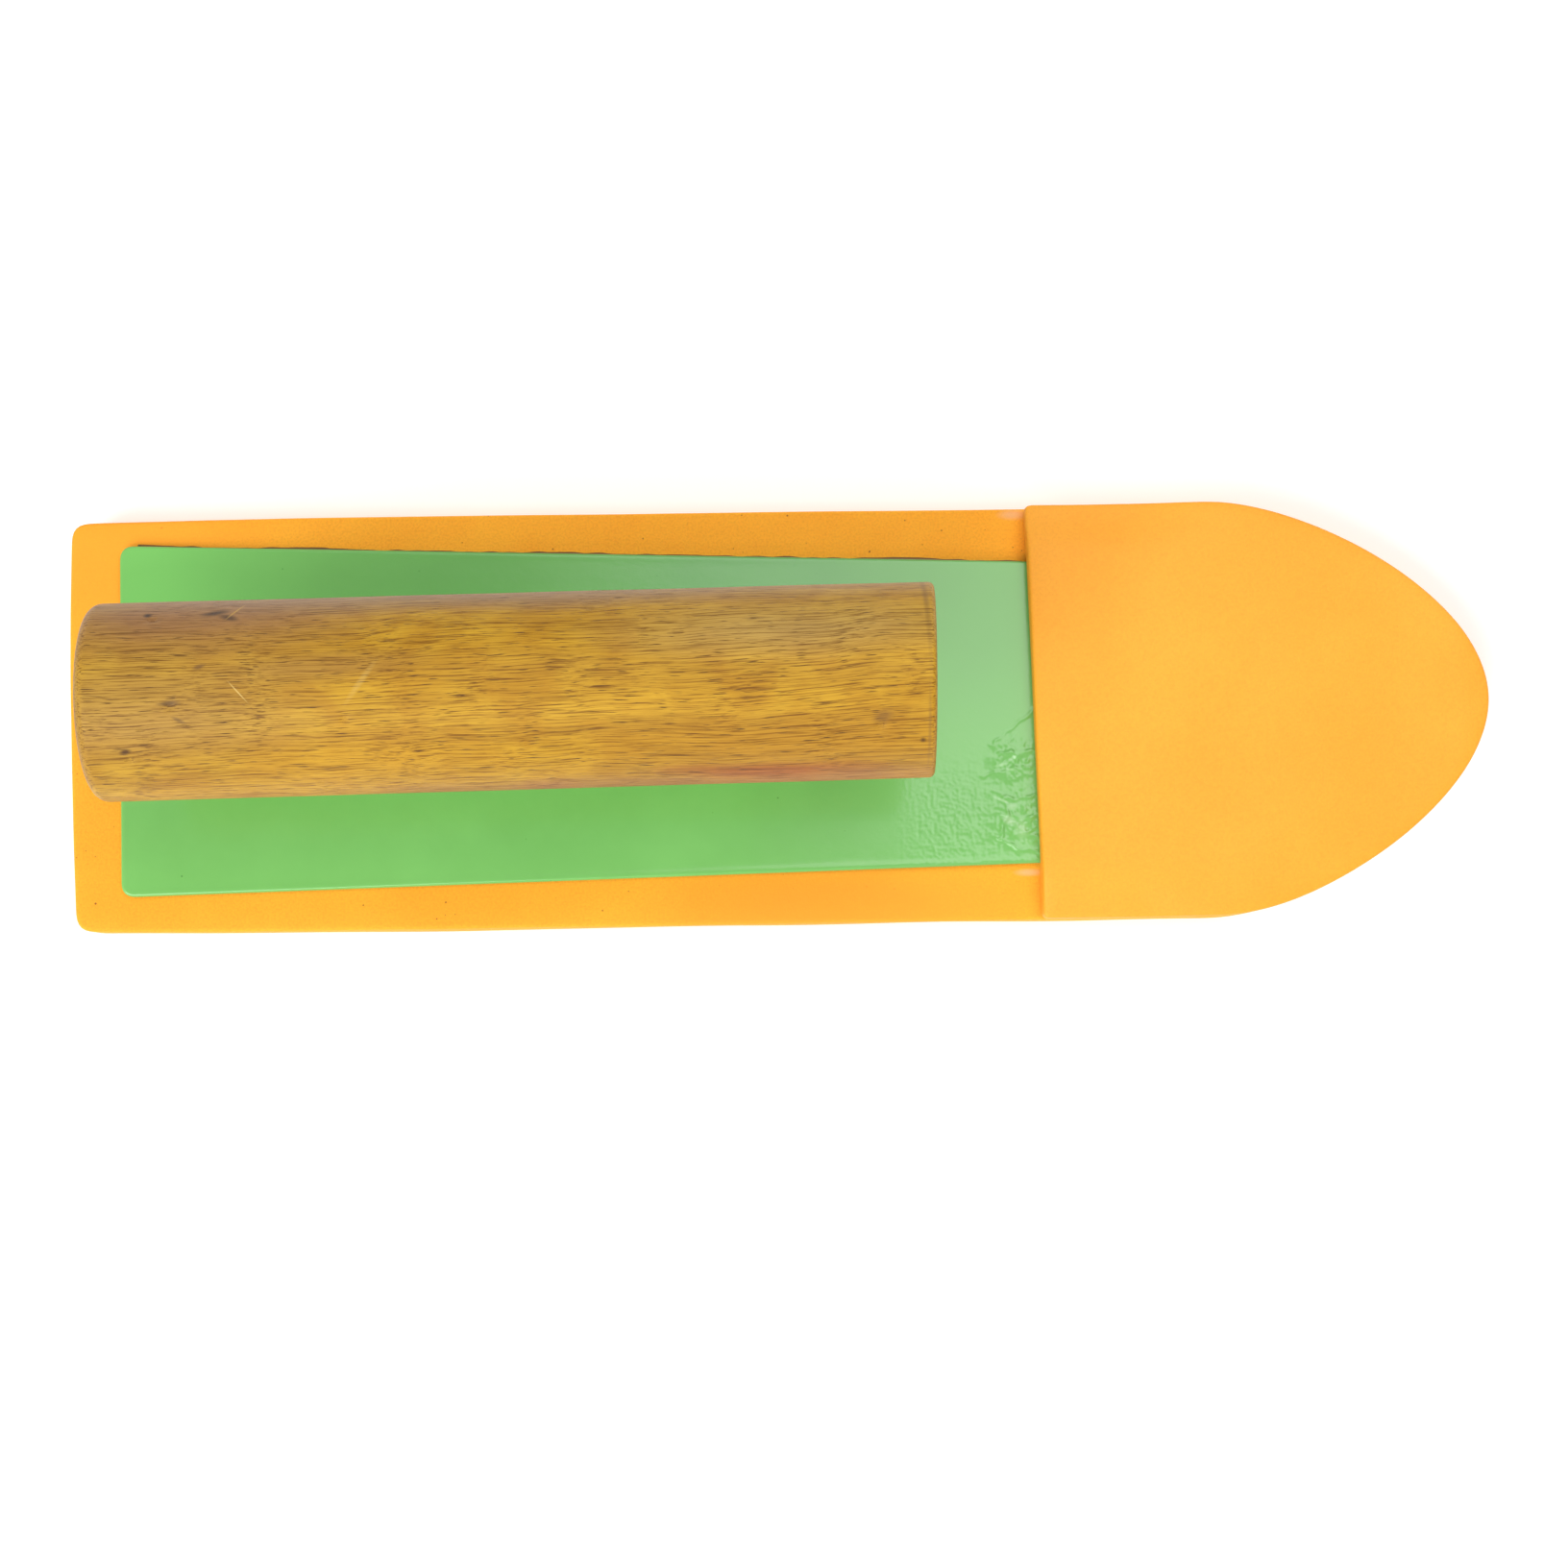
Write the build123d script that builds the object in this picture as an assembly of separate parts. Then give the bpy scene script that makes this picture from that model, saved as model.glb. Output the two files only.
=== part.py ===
from build123d import *
import math
import os

# Grout float, in millimetres. +Z is up, +X points to the nose and +Y is to the left of it.
# The origin is the middle of the working face, the flat underside of the foam, which lies on z = 0.
#
# How it is built, from the bottom up: a boat-shaped foam pad does the work. A thin painted steel plate is
# glued on its back with contact cement, and the plate's front end runs on as a tongue under a foam nose
# cover, which is glued over it and over the front of the pad. A bent steel strap is riveted to the plate
# at both ends. Two wood screws go up through the strap into a flat seat in the underside of a round
# wooden grip, with room for the fingers between the strap and the plate.

# ---- Foam pad -------------------------------------------------------------------------------------
PAD_LENGTH = 280.4
PAD_WIDTH = 82.2
PAD_THICKNESS = 10.0
PAD_EDGE_ROUNDING = 0.8
NOSE_LENGTH = 55.5  # from where the straight sides end to the tip
NOSE_SHOULDER_FULLNESS = 0.39  # how long the outline stays close to the straight side, of the nose length
NOSE_TIP_FULLNESS = 0.48  # how blunt the tip is, of half the width
NOSE_TIP_OFFSET = 1.7  # cut by hand, so the tip is this far to the left of the middle
REAR_NARROWING = 1.3  # the sides draw in by this much in all towards the rear
REAR_NARROWING_LENGTH = 75.0
REAR_BOW = 0.6  # how far the middle of the rear edge stands out past its corners
REAR_SLANT = 1.4  # the right rear corner is this much further forward than the left one
REAR_CORNER_RADIUS = 2.5

# ---- Steel plate ----------------------------------------------------------------------------------
PLATE_THICKNESS = 1.5
PLATE_REAR_MARGIN = 10.2  # foam left showing behind the plate
PLATE_SIDE_MARGIN = 5.75  # foam left showing beside the plate's rear end
PLATE_NOSE_MARGIN = 45.2  # from the end of the tongue to the tip of the pad
PLATE_TAPER_DEG = 1.48  # each side draws in by this angle towards the nose
PLATE_SKEW_DEG = -0.25  # laid on by hand, so not quite in line with the pad
PLATE_REAR_SLANT = 0.9  # its right rear corner is this much further forward than its left one
PLATE_REAR_RADIUS = 2.2
PLATE_TONGUE_RADIUS = 14.0
PLATE_EDGE_ROUNDING = 0.4

# ---- Contact cement -------------------------------------------------------------------------------
CEMENT_THICKNESS = 0.3
CEMENT_INSET = 1.0  # each film stops this far inside the edge of what it holds

# ---- Foam nose cover ------------------------------------------------------------------------------
COVER_LENGTH = 90.7  # along the middle, from its rear edge to the tip
COVER_THICKNESS = 4.0
COVER_EDGE_SKEW_DEG = 1.2  # its rear edge is cut this far out of square
COVER_DRAPE = 5.0  # width of the slope where the sheet comes down off the tongue
TONGUE_CLEARANCE = 0.6  # round the sides of the tongue, inside the cover

# ---- Strap that carries the grip ------------------------------------------------------------------
STRAP_WIDTH = 20.0
STRAP_THICKNESS = 2.5
STRAP_REAR_MARGIN = 8.8  # from the plate's rear edge to the end of the rear foot
STRAP_NOSE_MARGIN = 27.5  # from the end of the front foot to the nose cover
STRAP_BEND_RADIUS = 3.0  # inside the bends
STRAP_CORNER_RADIUS = 3.0
STRAP_LEG_SPREAD = 3.0  # how far each leg leans out between the saddle and its foot
FOOT_LENGTH = 21.0
FINGER_GAP = 27.5  # between the plate and the strap's saddle

# ---- Rivets ---------------------------------------------------------------------------------------
RIVET_SHANK = 4.0
RIVET_HEAD = 1.75 * RIVET_SHANK
RIVET_HEAD_HEIGHT = 0.5 * RIVET_SHANK
RIVET_TAIL = 1.6 * RIVET_SHANK
RIVET_TAIL_HEIGHT = 0.25 * RIVET_SHANK
RIVET_SPACING = 10.0
RIVET_FROM_FOOT_END = 8.0
TAIL_CLEARANCE = 0.6  # round a rivet's tail, in the foam and in the cement

# ---- Wooden grip ----------------------------------------------------------------------------------
GRIP_REAR_DIAMETER = 35.7
GRIP_FRONT_DIAMETER = 35.5
GRIP_OVERHANG = 3.5  # how far each end stands out past the end of the strap's foot
GRIP_REAR_ROUNDING = 2.4
GRIP_FRONT_ROUNDING = 1.0
GRIP_SKEW_DEG = 0.8  # strap and grip are fixed by hand, so not quite in line with the pad
SEAT_SIDE_ROOM = 0.6  # the flat seat is this much wider than the strap, on each side
SEAT_END_ROOM = 1.5  # between the strap's bends and the ends of the seat

# ---- Wood screws ----------------------------------------------------------------------------------
SCREW_THREAD = 4.0
SCREW_CORE = 2.8
SCREW_PITCH = 1.6
SCREW_LENGTH = 22.0
SCREW_TIP_LENGTH = 3.2
SCREW_FROM_SADDLE_END = 17.0
SCREW_HEAD = 7.6
SCREW_HEAD_HEIGHT = 2.4
SCREW_RECESS_WIDTH = 4.2
SCREW_RECESS_SLOT = 1.0
SCREW_RECESS_DEPTH = 1.6
SCREW_HOLE_CLEARANCE = 0.3  # round the screw, in the strap

# ---- Levels, from the working face up -------------------------------------------------------------
PAD_TOP = PAD_THICKNESS
PLATE_BOTTOM = PAD_TOP + CEMENT_THICKNESS
PLATE_TOP = PLATE_BOTTOM + PLATE_THICKNESS
POCKET_TOP = PLATE_TOP + CEMENT_THICKNESS
SADDLE_BOTTOM = PLATE_TOP + FINGER_GAP
SEAT_LEVEL = SADDLE_BOTTOM + STRAP_THICKNESS
SEAT_WIDTH = STRAP_WIDTH + 2 * SEAT_SIDE_ROOM
GRIP_MIDDLE_RADIUS = (GRIP_REAR_DIAMETER + GRIP_FRONT_DIAMETER) / 4
GRIP_AXIS = SEAT_LEVEL + math.sqrt(GRIP_MIDDLE_RADIUS**2 - (SEAT_WIDTH / 2) ** 2)

# ---- Places along the float -----------------------------------------------------------------------
REAR_X = -PAD_LENGTH / 2
TIP_X = PAD_LENGTH / 2
PLATE_REAR_X = REAR_X + PLATE_REAR_MARGIN
PLATE_FRONT_X = TIP_X - PLATE_NOSE_MARGIN
COVER_EDGE_X = TIP_X - COVER_LENGTH
STRAP_REAR_X = PLATE_REAR_X + STRAP_REAR_MARGIN
STRAP_FRONT_X = COVER_EDGE_X - STRAP_NOSE_MARGIN
STRAP_MIDDLE_X = (STRAP_REAR_X + STRAP_FRONT_X) / 2

# ---- Distances from the middle of the strap, along its own line -----------------------------------
FOOT_END = (STRAP_FRONT_X - STRAP_REAR_X) / 2
FOOT_START = FOOT_END - FOOT_LENGTH
SADDLE_END = FOOT_START - STRAP_LEG_SPREAD
RIVET_AT = FOOT_END - RIVET_FROM_FOOT_END
SCREW_AT = SADDLE_END - SCREW_FROM_SADDLE_END
GRIP_END = FOOT_END + GRIP_OVERHANG

RIVETS = {
    "rear_left": (-RIVET_AT, RIVET_SPACING / 2),
    "rear_right": (-RIVET_AT, -RIVET_SPACING / 2),
    "front_left": (RIVET_AT, RIVET_SPACING / 2),
    "front_right": (RIVET_AT, -RIVET_SPACING / 2),
}
SCREWS = {"rear": -SCREW_AT, "front": SCREW_AT}


def on_strap_line(shape, z=0.0):
    """Moves a shape drawn round the strap's middle to where the strap sits, raised to a level."""
    return Pos(STRAP_MIDDLE_X, 0, z) * Rot(0, 0, GRIP_SKEW_DEG) * shape


def at_rivets(shape, z):
    """One copy of a shape at each rivet, raised to a level."""
    return [on_strap_line(Pos(x, y, 0) * shape, z) for x, y in RIVETS.values()]


# ---- Foam pad -------------------------------------------------------------------------------------
def pad_outline(inset=0.0):
    """The boat shape: straight sides, a pointed nose with a round tip, and a slightly bowed rear."""
    half = PAD_WIDTH / 2 - inset
    rear_half = half - REAR_NARROWING / 2
    rear_x = REAR_X + inset
    tip_x = TIP_X - inset
    narrowing_x = rear_x + REAR_NARROWING_LENGTH
    shoulder_x = tip_x - NOSE_LENGTH
    corners = {side: (rear_x + REAR_BOW - side * REAR_SLANT / 2, side * rear_half) for side in (1, -1)}
    edges = [ThreePointArc(corners[1], (rear_x, 0), corners[-1])]
    for side, corner in corners.items():
        edges += [
            TangentArc((narrowing_x, side * half), corner, tangent=(-1, 0)),
            Line((narrowing_x, side * half), (shoulder_x, side * half)),
            Bezier(
                (shoulder_x, side * half),
                (shoulder_x + NOSE_SHOULDER_FULLNESS * NOSE_LENGTH, side * half),
                (tip_x, NOSE_TIP_OFFSET + side * NOSE_TIP_FULLNESS * half),
                (tip_x, NOSE_TIP_OFFSET),
            ),
        ]
    outline = make_face(Wire(edges))
    return fillet(outline.vertices().sort_by(Axis.X)[:2], REAR_CORNER_RADIUS)


def float_pad():
    """The foam that does the work, with a dimple under the tail of each rivet."""
    pad = extrude(pad_outline(), PAD_THICKNESS)
    pad = fillet(pad.faces().sort_by(Axis.Z)[-1].edges(), PAD_EDGE_ROUNDING)
    dimple = Cylinder(
        RIVET_TAIL / 2 + TAIL_CLEARANCE,
        RIVET_TAIL_HEIGHT + TAIL_CLEARANCE,
        align=(Align.CENTER, Align.CENTER, Align.MAX),
    )
    return pad - at_rivets(dimple, PAD_TOP)


# ---- Steel plate and the cement under it ----------------------------------------------------------
def plate_outline(grow=0.0):
    """The tapered plate, with small corners behind and large ones on the tongue, grown by a margin."""
    rear_half = (PAD_WIDTH - REAR_NARROWING) / 2 - PLATE_SIDE_MARGIN
    taper = math.tan(math.radians(PLATE_TAPER_DEG))
    front_half = rear_half - (PLATE_FRONT_X - PLATE_REAR_X) * taper
    corners = [
        (PLATE_REAR_X - COVER_EDGE_X + PLATE_REAR_SLANT / 2, -rear_half),
        (PLATE_FRONT_X - COVER_EDGE_X, -front_half),
        (PLATE_FRONT_X - COVER_EDGE_X, front_half),
        (PLATE_REAR_X - COVER_EDGE_X - PLATE_REAR_SLANT / 2, rear_half),
    ]
    outline = make_face(Polyline(*corners, close=True))
    outline = fillet(outline.vertices().sort_by(Axis.X)[:2], PLATE_REAR_RADIUS)
    outline = fillet(outline.vertices().sort_by(Axis.X)[-2:], PLATE_TONGUE_RADIUS)
    if grow:
        outline = offset(outline, grow)
    return Pos(COVER_EDGE_X, 0) * Rot(0, 0, PLATE_SKEW_DEG) * outline


def backing_plate():
    """Sheet steel with rounded top edges and a hole for each rivet."""
    plate = Pos(0, 0, PLATE_BOTTOM) * extrude(plate_outline(), PLATE_THICKNESS)
    plate = fillet(plate.faces().sort_by(Axis.Z)[-1].edges(), PLATE_EDGE_ROUNDING)
    return plate - at_rivets(Cylinder(RIVET_SHANK / 2, 4 * PLATE_THICKNESS), PLATE_BOTTOM)


def plate_cement():
    """The film of cement between the plate and the pad, kept clear of the rivets' tails."""
    film = Pos(0, 0, PAD_TOP) * extrude(plate_outline(-CEMENT_INSET), CEMENT_THICKNESS)
    hole = Cylinder(RIVET_TAIL / 2 + TAIL_CLEARANCE, 4 * CEMENT_THICKNESS)
    return film - at_rivets(hole, PAD_TOP)


# ---- Nose cover and the cement under it -----------------------------------------------------------
def cover_outline(inset=0.0):
    """The front of the pad's outline, back to the cover's rear edge."""
    ahead = Pos(inset + PAD_LENGTH / 2, 0) * Rectangle(PAD_LENGTH, PAD_LENGTH)
    return pad_outline(inset) & Pos(COVER_EDGE_X, 0) * Rot(0, 0, COVER_EDGE_SKEW_DEG) * ahead


def nose_cover():
    """A foam sheet that lies on the pad and rises over the plate's tongue, with a pocket for it below."""
    sheet_bottom = PLATE_BOTTOM
    sheet_top = sheet_bottom + COVER_THICKNESS
    rise = POCKET_TOP - sheet_bottom
    sheet = Pos(0, 0, sheet_bottom) * extrude(cover_outline(), COVER_THICKNESS)
    hump_foot = Pos(0, 0, sheet_top) * plate_outline(TONGUE_CLEARANCE + COVER_DRAPE)
    hump_crest = Pos(0, 0, sheet_top + rise) * plate_outline(TONGUE_CLEARANCE)
    hump = loft([hump_foot, hump_crest]) & (Pos(0, 0, sheet_top) * extrude(cover_outline(), rise))
    pocket = Pos(0, 0, sheet_bottom) * extrude(plate_outline(TONGUE_CLEARANCE), rise)
    return sheet + hump - pocket


def nose_cement():
    """The film that holds the nose cover to the pad, round three sides of the tongue."""
    film = extrude(cover_outline(CEMENT_INSET), CEMENT_THICKNESS)
    film -= extrude(plate_outline(TONGUE_CLEARANCE + CEMENT_INSET), CEMENT_THICKNESS)
    return Pos(0, 0, PAD_TOP) * film


def tongue_cement():
    """The film that holds the nose cover to the top of the tongue."""
    film = cover_outline(CEMENT_INSET) & plate_outline(-CEMENT_INSET)
    return Pos(0, 0, PLATE_TOP) * extrude(film, CEMENT_THICKNESS)


# ---- Strap ----------------------------------------------------------------------------------------
def handle_strap():
    """One flat steel strip bent into a bridge: foot, leg, saddle, leg, foot."""
    low = PLATE_TOP + STRAP_THICKNESS / 2
    high = SEAT_LEVEL - STRAP_THICKNESS / 2
    centre_line = FilletPolyline(
        (-FOOT_END, low),
        (-FOOT_START, low),
        (-SADDLE_END, high),
        (SADDLE_END, high),
        (FOOT_START, low),
        (FOOT_END, low),
        radius=STRAP_BEND_RADIUS + STRAP_THICKNESS / 2,
    )
    strap = Rot(90, 0, 0) * extrude(trace(centre_line, STRAP_THICKNESS), STRAP_WIDTH / 2, both=True)
    corners = strap.edges().filter_by(Axis.Z).group_by(Axis.X)
    strap = fillet(corners[0] + corners[-1], STRAP_CORNER_RADIUS)
    for x, y in RIVETS.values():
        strap -= Pos(x, y, low) * Cylinder(RIVET_SHANK / 2, 2 * STRAP_THICKNESS)
    for x in SCREWS.values():
        clearance_hole = Cylinder(SCREW_THREAD / 2 + SCREW_HOLE_CLEARANCE, 2 * STRAP_THICKNESS)
        strap -= Pos(x, 0, high) * clearance_hole
    return on_strap_line(strap)


# ---- Rivets ---------------------------------------------------------------------------------------
def rivet():
    """A set rivet with the plate's underside at z = 0: flattened tail, shank and domed head."""
    shank, tail, head = RIVET_SHANK / 2, RIVET_TAIL / 2, RIVET_HEAD / 2
    head_base = PLATE_THICKNESS + STRAP_THICKNESS
    top = head_base + RIVET_HEAD_HEIGHT
    outline = Polyline(
        (0, top),
        (0, -RIVET_TAIL_HEIGHT),
        (tail, -RIVET_TAIL_HEIGHT),
        (tail, 0),
        (shank, 0),
        (shank, head_base),
        (head, head_base),
    )
    dome = TangentArc((0, top), (head, head_base), tangent=(1, 0))
    return revolve(Plane.XZ * make_face(Wire([*outline.edges(), dome])), Axis.Z)


# ---- Wood screws ----------------------------------------------------------------------------------
def wood_screw(recessed=True):
    """A pan-head wood screw that points up from its seat at z = 0, with its thread drawn as rings."""
    core, crest, head = SCREW_CORE / 2, SCREW_THREAD / 2, SCREW_HEAD / 2
    thread_end = SCREW_LENGTH - SCREW_TIP_LENGTH
    rings = int((thread_end - STRAP_THICKNESS) / SCREW_PITCH)
    outline = [
        (0, -SCREW_HEAD_HEIGHT),
        (head * 2 / 3, -SCREW_HEAD_HEIGHT),
        (head, -SCREW_HEAD_HEIGHT * 2 / 3),
        (head, 0),
        (core, 0),
        (core, STRAP_THICKNESS),
    ]
    for ring in range(rings):
        z = STRAP_THICKNESS + ring * SCREW_PITCH
        outline += [(crest, z + SCREW_PITCH / 2), (core, z + SCREW_PITCH)]
    outline += [(core, thread_end), (0, SCREW_LENGTH)]
    screw = revolve(Plane.XZ * make_face(Polyline(*outline, close=True)), Axis.Z)
    if recessed:
        slot = Box(
            SCREW_RECESS_WIDTH,
            SCREW_RECESS_SLOT,
            SCREW_RECESS_DEPTH,
            align=(Align.CENTER, Align.CENTER, Align.MIN),
        )
        for turn in (0, 90):
            screw -= Pos(0, 0, -SCREW_HEAD_HEIGHT) * Rot(0, 0, turn) * slot
    return screw


# ---- Wooden grip ----------------------------------------------------------------------------------
def wooden_grip():
    """A turned stick, slightly thicker at the rear, with a flat seat and the holes the screws cut."""
    profile = Polyline(
        (-GRIP_END, 0),
        (-GRIP_END, GRIP_REAR_DIAMETER / 2),
        (GRIP_END, GRIP_FRONT_DIAMETER / 2),
        (GRIP_END, 0),
        close=True,
    )
    grip = revolve(make_face(profile), Axis.X)
    grip = fillet(grip.edges().filter_by(GeomType.CIRCLE).sort_by(Axis.X)[0], GRIP_REAR_ROUNDING)
    grip = fillet(grip.edges().filter_by(GeomType.CIRCLE).sort_by(Axis.X)[-1], GRIP_FRONT_ROUNDING)
    below_seat = Box(
        2 * (SADDLE_END + STRAP_THICKNESS + SEAT_END_ROOM),
        GRIP_REAR_DIAMETER,
        GRIP_REAR_DIAMETER,
        align=(Align.CENTER, Align.CENTER, Align.MAX),
    )
    grip = Pos(0, 0, GRIP_AXIS) * grip - Pos(0, 0, SEAT_LEVEL) * below_seat
    for x in SCREWS.values():
        grip -= Pos(x, 0, SADDLE_BOTTOM) * wood_screw(recessed=False)
    return on_strap_line(grip)


# ---- One STEP file for each piece -----------------------------------------------------------------
pieces = {
    "float_pad": float_pad(),
    "plate_cement": plate_cement(),
    "backing_plate": backing_plate(),
    "nose_cement": nose_cement(),
    "tongue_cement": tongue_cement(),
    "nose_cover": nose_cover(),
    "handle_strap": handle_strap(),
    "wooden_grip": wooden_grip(),
}
for name, (x, y) in RIVETS.items():
    pieces[f"rivet_{name}"] = on_strap_line(Pos(x, y, 0) * rivet(), PLATE_BOTTOM)
for name, x in SCREWS.items():
    pieces[f"screw_{name}"] = on_strap_line(Pos(x, 0, 0) * wood_screw(), SADDLE_BOTTOM)

os.makedirs("parts", exist_ok=True)
for name, piece in pieces.items():
    export_step(piece, f"parts/{name}.step")
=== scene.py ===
import math

import bmesh
import bpy
import numpy as np
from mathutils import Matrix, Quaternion, Vector, noise
from mathutils.geometry import convex_hull_2d, delaunay_2d_cdt


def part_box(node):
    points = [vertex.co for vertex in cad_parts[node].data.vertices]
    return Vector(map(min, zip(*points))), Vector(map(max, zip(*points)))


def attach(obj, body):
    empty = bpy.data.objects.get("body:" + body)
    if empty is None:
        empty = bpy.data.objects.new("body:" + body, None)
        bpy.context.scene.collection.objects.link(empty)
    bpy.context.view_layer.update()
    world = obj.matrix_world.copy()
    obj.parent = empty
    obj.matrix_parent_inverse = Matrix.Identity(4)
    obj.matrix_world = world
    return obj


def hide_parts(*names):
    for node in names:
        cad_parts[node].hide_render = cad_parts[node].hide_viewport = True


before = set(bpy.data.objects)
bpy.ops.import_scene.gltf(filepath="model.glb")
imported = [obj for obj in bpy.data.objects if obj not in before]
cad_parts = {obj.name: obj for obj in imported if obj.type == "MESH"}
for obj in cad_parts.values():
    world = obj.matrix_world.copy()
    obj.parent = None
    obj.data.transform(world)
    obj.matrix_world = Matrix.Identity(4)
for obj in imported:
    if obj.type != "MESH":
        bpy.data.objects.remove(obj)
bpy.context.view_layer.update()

MM = 0.001


# ---- Foam pad -------------------------------------------------------------------------------------
# A slab of closed-cell EVA foam, knife-cut to a boat shape from a thick sheet. The cut leaves its
# faces matt and open-pored, and its edges slightly soft. It carries everything else.
def linear(hex_colour):
    """An sRGB hex colour, such as "#82c869", as linear red, green, blue and alpha."""
    values = [int(hex_colour[i:i + 2], 16) / 255 for i in (1, 3, 5)]
    return [v / 12.92 if v <= 0.04045 else ((v + 0.055) / 1.055) ** 2.4 for v in values] + [1.0]


def add_node(tree, kind, inputs=None, stops=None, **settings):
    """Adds a shader node. Inputs are values or other nodes' outputs, and stops fill a colour ramp."""
    made = tree.nodes.new("ShaderNode" + kind)
    for name, value in settings.items():
        setattr(made, name, value)
    for socket, value in (inputs or {}).items():
        if isinstance(value, bpy.types.NodeSocket):
            tree.links.new(value, made.inputs[socket])
        else:
            made.inputs[socket].default_value = value
    for number, (place, colour) in enumerate(stops or []):
        ramp = made.color_ramp.elements
        stop = ramp[number] if number < 2 else ramp.new(place)
        stop.position, stop.color = place, linear(colour)
    return made


def new_material(name, **inputs):
    """A material with a Principled shader. Inputs are its constant socket values, by name."""
    material = bpy.data.materials.new(name)
    material.use_nodes = True
    tree = material.node_tree
    shader = tree.nodes["Principled BSDF"]
    for socket, value in inputs.items():
        shader.inputs[socket.replace("_", " ")].default_value = value
    return material, tree, shader


def outline_of(node, step, smoothing):
    """The outline of a CAD node seen from above, evenly spaced and counter-clockwise, in metres."""
    flat = [Vector(v.co[:2]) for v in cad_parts[node].data.vertices]
    hull = np.array([flat[i] for i in convex_hull_2d(flat)])
    ahead = np.roll(hull, -1, axis=0)
    if np.sum(hull[:, 0] * ahead[:, 1] - ahead[:, 0] * hull[:, 1]) < 0:
        hull = hull[::-1]
    closed = np.vstack([hull, hull[:1]])
    run = np.concatenate([[0], np.cumsum(np.linalg.norm(np.diff(closed, axis=0), axis=1))])
    at = np.linspace(0, run[-1], int(run[-1] / step), endpoint=False)
    line = np.column_stack([np.interp(at, run, closed[:, axis]) for axis in (0, 1)])
    for _ in range(smoothing):
        line = (np.roll(line, 1, axis=0) + 2 * line + np.roll(line, -1, axis=0)) / 4
    return line


def inset_line(line, distance):
    """A closed outline moved inwards by a distance."""
    along = np.roll(line, -1, axis=0) - np.roll(line, 1, axis=0)
    inwards = np.column_stack([-along[:, 1], along[:, 0]])
    return line + distance * inwards / np.linalg.norm(inwards, axis=1)[:, None]


def distance_to(points, path):
    """How far each point is from a path of straight runs."""
    nearest = np.full(len(points), 1.0)
    for start, end in zip(path[:-1], path[1:]):
        run = end - start
        share = np.clip((points - start) @ run / (run @ run), 0, 1)
        nearest = np.minimum(nearest, np.linalg.norm(points - start - share[:, None] * run, axis=1))
    return nearest


def depth_inside(points, line):
    """How far each point is inside a closed outline, in metres, and negative outside it."""
    crossings = np.zeros(len(points), int)
    for start, end in zip(line, np.roll(line, -1, axis=0)):
        if start[1] != end[1]:
            run = end - start
            between = (start[1] <= points[:, 1]) != (end[1] <= points[:, 1])
            crossings += between & (points[:, 0] < start[0] + (points[:, 1] - start[1]) / run[1] * run[0])
    depth = distance_to(points, np.vstack([line, line[:1]]))
    return np.where(crossings % 2 == 1, depth, -depth)


def lattice(line, step, margin, keep=None):
    """Points in rows of even triangles, a margin inside a closed outline, and only those that keep keeps."""
    low, high = line.min(axis=0), line.max(axis=0)
    rows = np.arange(low[1], high[1], step * math.sqrt(3) / 2)
    points = np.array([
        (x, y)
        for number, y in enumerate(rows)
        for x in np.arange(low[0] + step / 2 * (number % 2), high[0], step)
    ])
    if keep is not None:
        points = points[keep(points)]
    return points[depth_inside(points, line) > margin]


def tube_faces(rings, count):
    """The four-sided faces between rings of points that follow each other, with a count of points each."""
    return [
        (r * count + k, (r + 1) * count + k, (r + 1) * count + (k + 1) % count, r * count + (k + 1) % count)
        for r in range(rings - 1)
        for k in range(count)
    ]


def new_piece(name, points, faces, material):
    """A smooth-shaded piece from points in metres."""
    mesh = bpy.data.meshes.new(name)
    mesh.from_pydata([tuple(p) for p in points], [], [tuple(f) for f in faces])
    mesh.validate()
    fix = bmesh.new()
    fix.from_mesh(mesh)
    bmesh.ops.recalc_face_normals(fix, faces=fix.faces)
    fix.to_mesh(mesh)
    fix.free()
    mesh.shade_smooth()
    mesh.materials.append(material)
    piece = bpy.data.objects.new(name, mesh)
    bpy.context.collection.objects.link(piece)
    return piece


def slab(name, line, inner, bottom, top, rounding, side_rows, material, cut=None):
    """A sheet cut to an outline: rings round its rounded edge, and triangles over both faces.
    bottom and top give the height at points, and cut moves a ring of the edge in or out."""
    arc = [math.pi / 2 * k / 4 for k in range(5)]
    low_r, high_r = rounding
    rows = [(low_r * (1 - math.sin(a)), 0, low_r * (1 - math.cos(a))) for a in arc]
    rows += [(0, k / side_rows, 0) for k in range(1, side_rows)]
    rows += [(high_r * (1 - math.cos(a)), 1, high_r * (math.sin(a) - 1)) for a in arc]
    points, count = [], len(line)
    for inset, share, rise in rows:
        ring = inset_line(line, inset)
        if cut is not None:
            ring = inset_line(ring, cut(ring, share)[:, None])
        height = (1 - share) * bottom(ring) + share * top(ring) + rise
        points.append(np.column_stack([ring, height]))
    faces = tube_faces(len(rows), count)
    total = len(rows) * count
    for ring, height, first in ((points[0], bottom, 0), (points[-1], top, total - count)):
        flat = np.vstack([ring[:, :2], inner])
        borders = [(i, (i + 1) % count) for i in range(count)]
        made = delaunay_2d_cdt([Vector(p) for p in flat], borders, [], 1, 1e-9)
        spots = np.array([tuple(p) for p in made[0]])
        place = np.array([first + olds[0] if olds and olds[0] < count else -1 for olds in made[3]])
        inside = place < 0
        place[inside] = total + np.arange(inside.sum())
        points.append(np.column_stack([spots[inside], height(spots[inside])]))
        total += inside.sum()
        faces += [tuple(int(place[i]) for i in face) for face in made[2]]
    return new_piece(name, np.vstack(points), faces, material)


def rough(points, size, height, seed=0.0):
    """Smooth random heights at points, for lumps of a size, up to a height either way."""
    return height * np.array([noise.noise(Vector((p[0] / size, p[1] / size, seed))) for p in points])


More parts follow.
